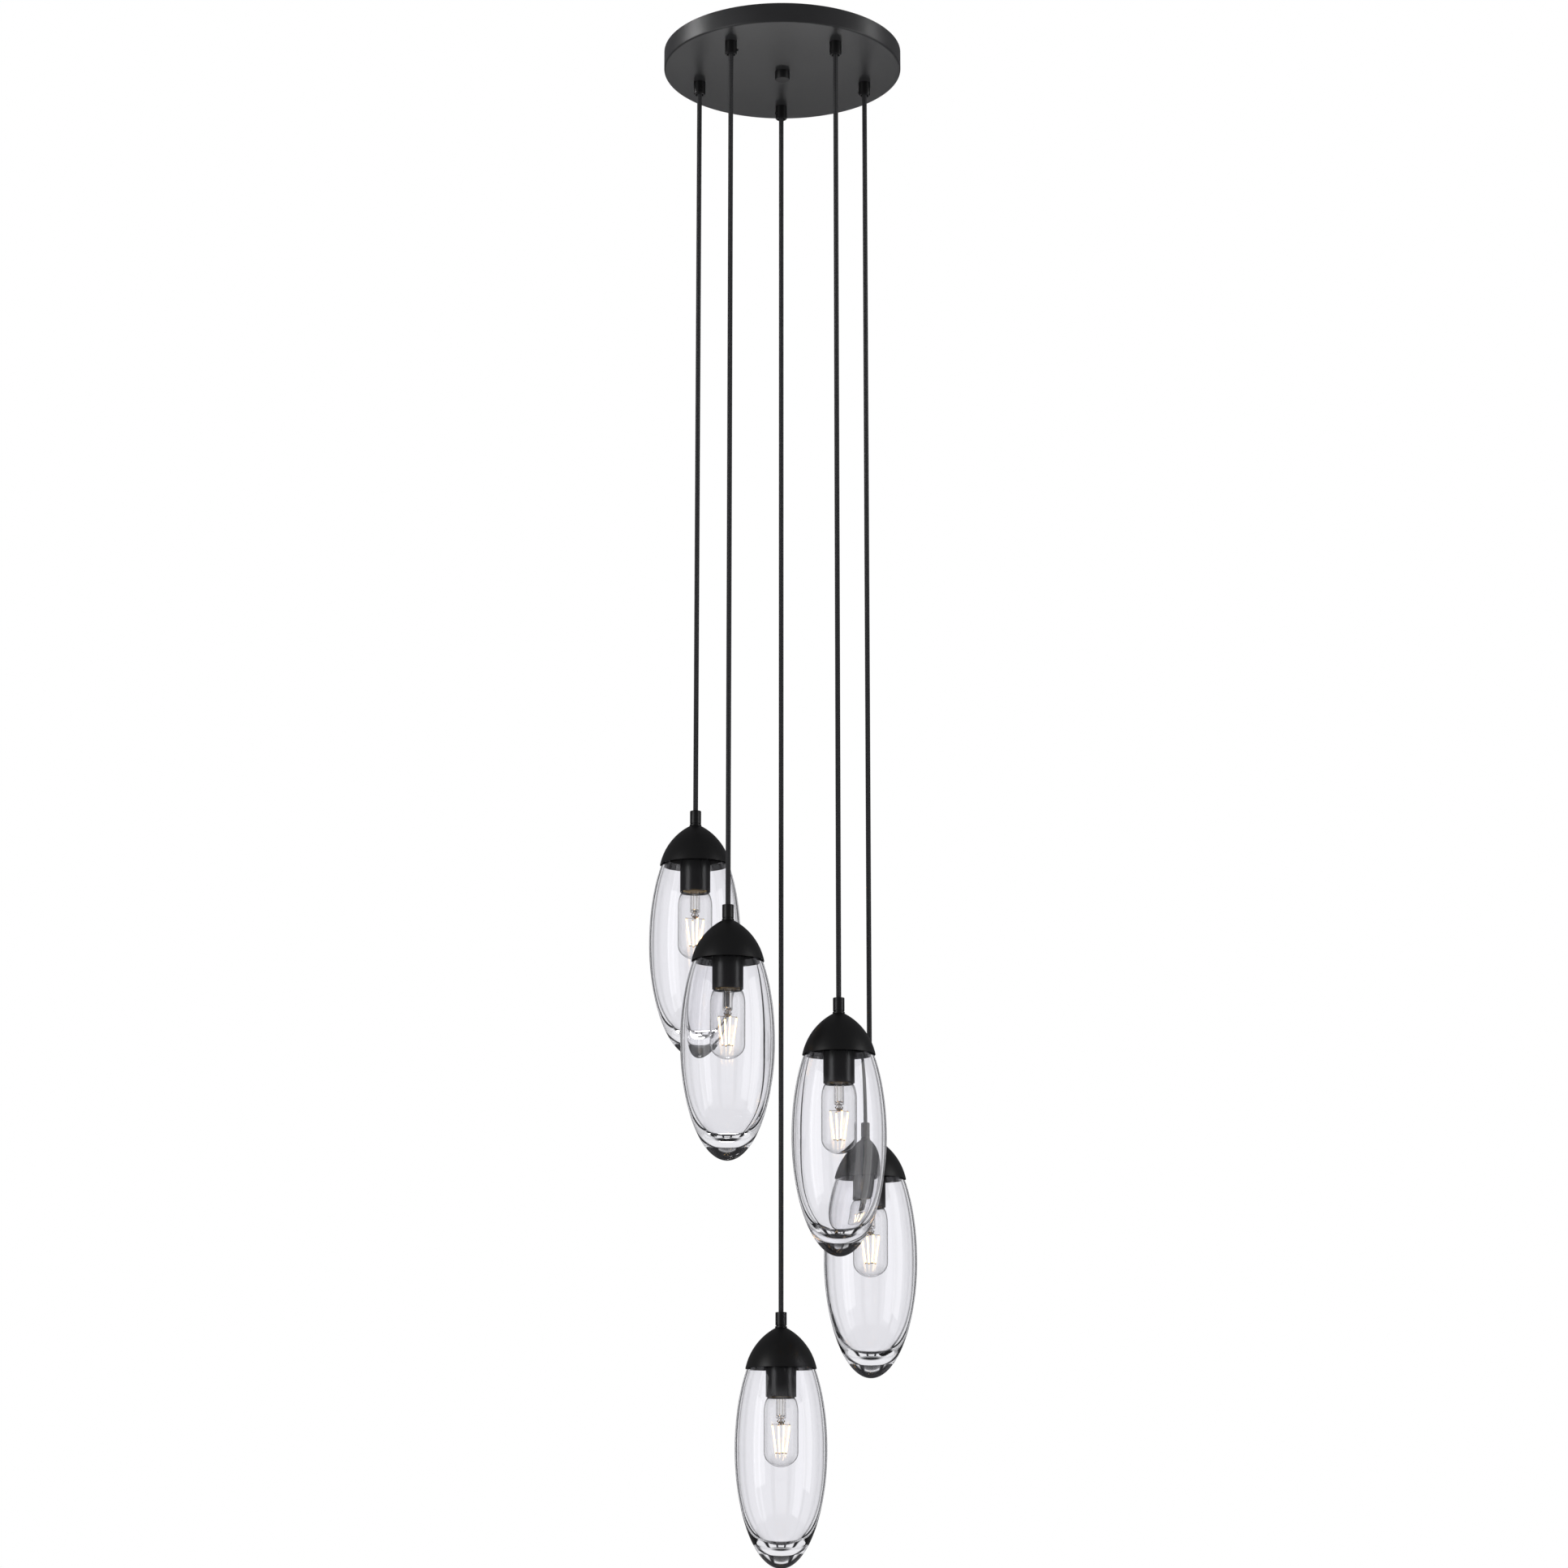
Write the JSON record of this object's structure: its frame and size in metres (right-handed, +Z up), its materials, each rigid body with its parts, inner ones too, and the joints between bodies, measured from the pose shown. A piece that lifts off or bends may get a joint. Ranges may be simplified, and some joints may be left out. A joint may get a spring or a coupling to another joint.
{
  "type": "cluster pendant light",
  "caption": "Cluster pendant chandelier: flat round black canopy, black cords in a ring at stepped heights, each with a domed cap, a clear egg-shaped glass shade and a tubular filament lamp.",
  "frame": {"origin": "centre of the mounting bar's two ceiling-box slots, on the ceiling plane where the canopy's rim rests", "axes": "+Z up into the ceiling along the canopy's axis, +X to the right in the picture along the mounting bar, +Y away from the camera, towards the lowest pendant's cord grip"},
  "size_m": [0.3482, 0.3425, 2.0394],
  "materials": {
    "black_canopy": "satin black",
    "black_cap": "satin black",
    "black_turned": "satin black",
    "zinc_steel": "zinc plated",
    "black_cord": "woven braid",
    "white_moulding": "moulded",
    "holder_moulding": "moulded",
    "clear_glass": "clear",
    "ring_steel": "satin black",
    "lamp_brass": "plated",
    "lamp_clear": "clear",
    "filament_gold": "phosphor coating"
  },
  "bodies": {
    "canopy_unit": {"canopy": "black_canopy", "mounting_bar": "zinc_steel", "centre_stud": "zinc_steel", "stud_nut": "zinc_steel", "centre_nut": "black_turned", "cord_grips": "black_turned", "grip_nuts": "zinc_steel", "grip_screws": "black_turned", "terminal_block": "white_moulding", "canopy_leads": "black_cord"},
    "cord_line_1": {"cord_1": "black_cord"},
    "pendant_1": {"coupler_1": "black_turned", "cap_1": "black_cap", "socket_cup_1": "black_cap", "lampholder_1": "holder_moulding"},
    "shade_unit_1": {"shade_1": "clear_glass", "shade_ring_1": "ring_steel"},
    "lamp_1": {"lamp_base_1": "lamp_brass", "lamp_glass_1": "lamp_clear", "lamp_filament_1": "filament_gold"},
    "cord_line_2": {"cord_2": "black_cord"},
    "pendant_2": {"coupler_2": "black_turned", "cap_2": "black_cap", "socket_cup_2": "black_cap", "lampholder_2": "holder_moulding"},
    "shade_unit_2": {"shade_2": "clear_glass", "shade_ring_2": "ring_steel"},
    "lamp_2": {"lamp_base_2": "lamp_brass", "lamp_glass_2": "lamp_clear", "lamp_filament_2": "filament_gold"},
    "cord_line_3": {"cord_3": "black_cord"},
    "pendant_3": {"coupler_3": "black_turned", "cap_3": "black_cap", "socket_cup_3": "black_cap", "lampholder_3": "holder_moulding"},
    "shade_unit_3": {"shade_3": "clear_glass", "shade_ring_3": "ring_steel"},
    "lamp_3": {"lamp_base_3": "lamp_brass", "lamp_glass_3": "lamp_clear", "lamp_filament_3": "filament_gold"},
    "cord_line_4": {"cord_4": "black_cord"},
    "pendant_4": {"coupler_4": "black_turned", "cap_4": "black_cap", "socket_cup_4": "black_cap", "lampholder_4": "holder_moulding"},
    "shade_unit_4": {"shade_4": "clear_glass", "shade_ring_4": "ring_steel"},
    "lamp_4": {"lamp_base_4": "lamp_brass", "lamp_glass_4": "lamp_clear", "lamp_filament_4": "filament_gold"},
    "cord_line_5": {"cord_5": "black_cord"},
    "pendant_5": {"coupler_5": "black_turned", "cap_5": "black_cap", "socket_cup_5": "black_cap", "lampholder_5": "holder_moulding"},
    "shade_unit_5": {"shade_5": "clear_glass", "shade_ring_5": "ring_steel"},
    "lamp_5": {"lamp_base_5": "lamp_brass", "lamp_glass_5": "lamp_clear", "lamp_filament_5": "filament_gold"}
  },
  "joints": [
    {"name": "swing_1", "type": "hinge", "parent": "canopy_unit", "child": "cord_line_1", "pos_m": [-0.11413, 0.03708, -0.0435], "axis": [0.309, 0.9511, 0], "range_deg": [-0.25, 12]},
    {"name": "height_1", "type": "slide", "parent": "cord_line_1", "child": "pendant_1", "axis": [0, 0, 1], "range_m": [0, 0.5], "deforming": ["cord_1"]},
    {"name": "shade_release_1", "type": "slide", "parent": "pendant_1", "child": "shade_unit_1", "axis": [0, 0, -1], "range_m": [0, 0.16]},
    {"name": "lamp_release_1", "type": "slide", "parent": "pendant_1", "child": "lamp_1", "axis": [0, 0, -1], "range_m": [0, 0.03]},
    {"name": "swing_2", "type": "hinge", "parent": "canopy_unit", "child": "cord_line_2", "pos_m": [-0.07053, -0.09708, -0.0435], "axis": [-0.809, 0.5878, 0], "range_deg": [-0.25, 12]},
    {"name": "height_2", "type": "slide", "parent": "cord_line_2", "child": "pendant_2", "axis": [0, 0, 1], "range_m": [0, 0.5], "deforming": ["cord_2"]},
    {"name": "shade_release_2", "type": "slide", "parent": "pendant_2", "child": "shade_unit_2", "axis": [0, 0, -1], "range_m": [0, 0.16]},
    {"name": "lamp_release_2", "type": "slide", "parent": "pendant_2", "child": "lamp_2", "axis": [0, 0, -1], "range_m": [0, 0.03]},
    {"name": "swing_3", "type": "hinge", "parent": "canopy_unit", "child": "cord_line_3", "pos_m": [0.07053, -0.09708, -0.0435], "axis": [-0.809, -0.5878, 0], "range_deg": [-0.25, 12]},
    {"name": "height_3", "type": "slide", "parent": "cord_line_3", "child": "pendant_3", "axis": [0, 0, 1], "range_m": [0, 0.5], "deforming": ["cord_3"]},
    {"name": "shade_release_3", "type": "slide", "parent": "pendant_3", "child": "shade_unit_3", "axis": [0, 0, -1], "range_m": [0, 0.16]},
    {"name": "lamp_release_3", "type": "slide", "parent": "pendant_3", "child": "lamp_3", "axis": [0, 0, -1], "range_m": [0, 0.03]},
    {"name": "swing_4", "type": "hinge", "parent": "canopy_unit", "child": "cord_line_4", "pos_m": [0.11413, 0.03708, -0.0435], "axis": [0.309, -0.9511, 0], "range_deg": [-0.25, 12]},
    {"name": "height_4", "type": "slide", "parent": "cord_line_4", "child": "pendant_4", "axis": [0, 0, 1], "range_m": [0, 0.5], "deforming": ["cord_4"]},
    {"name": "shade_release_4", "type": "slide", "parent": "pendant_4", "child": "shade_unit_4", "axis": [0, 0, -1], "range_m": [0, 0.16]},
    {"name": "lamp_release_4", "type": "slide", "parent": "pendant_4", "child": "lamp_4", "axis": [0, 0, -1], "range_m": [0, 0.03]},
    {"name": "swing_5", "type": "hinge", "parent": "canopy_unit", "child": "cord_line_5", "pos_m": [0, 0.12, -0.0435], "axis": [1, 0, 0], "range_deg": [-0.25, 12]},
    {"name": "height_5", "type": "slide", "parent": "cord_line_5", "child": "pendant_5", "axis": [0, 0, 1], "range_m": [0, 0.5], "deforming": ["cord_5"]},
    {"name": "shade_release_5", "type": "slide", "parent": "pendant_5", "child": "shade_unit_5", "axis": [0, 0, -1], "range_m": [0, 0.16]},
    {"name": "lamp_release_5", "type": "slide", "parent": "pendant_5", "child": "lamp_5", "axis": [0, 0, -1], "range_m": [0, 0.03]}
  ]
}
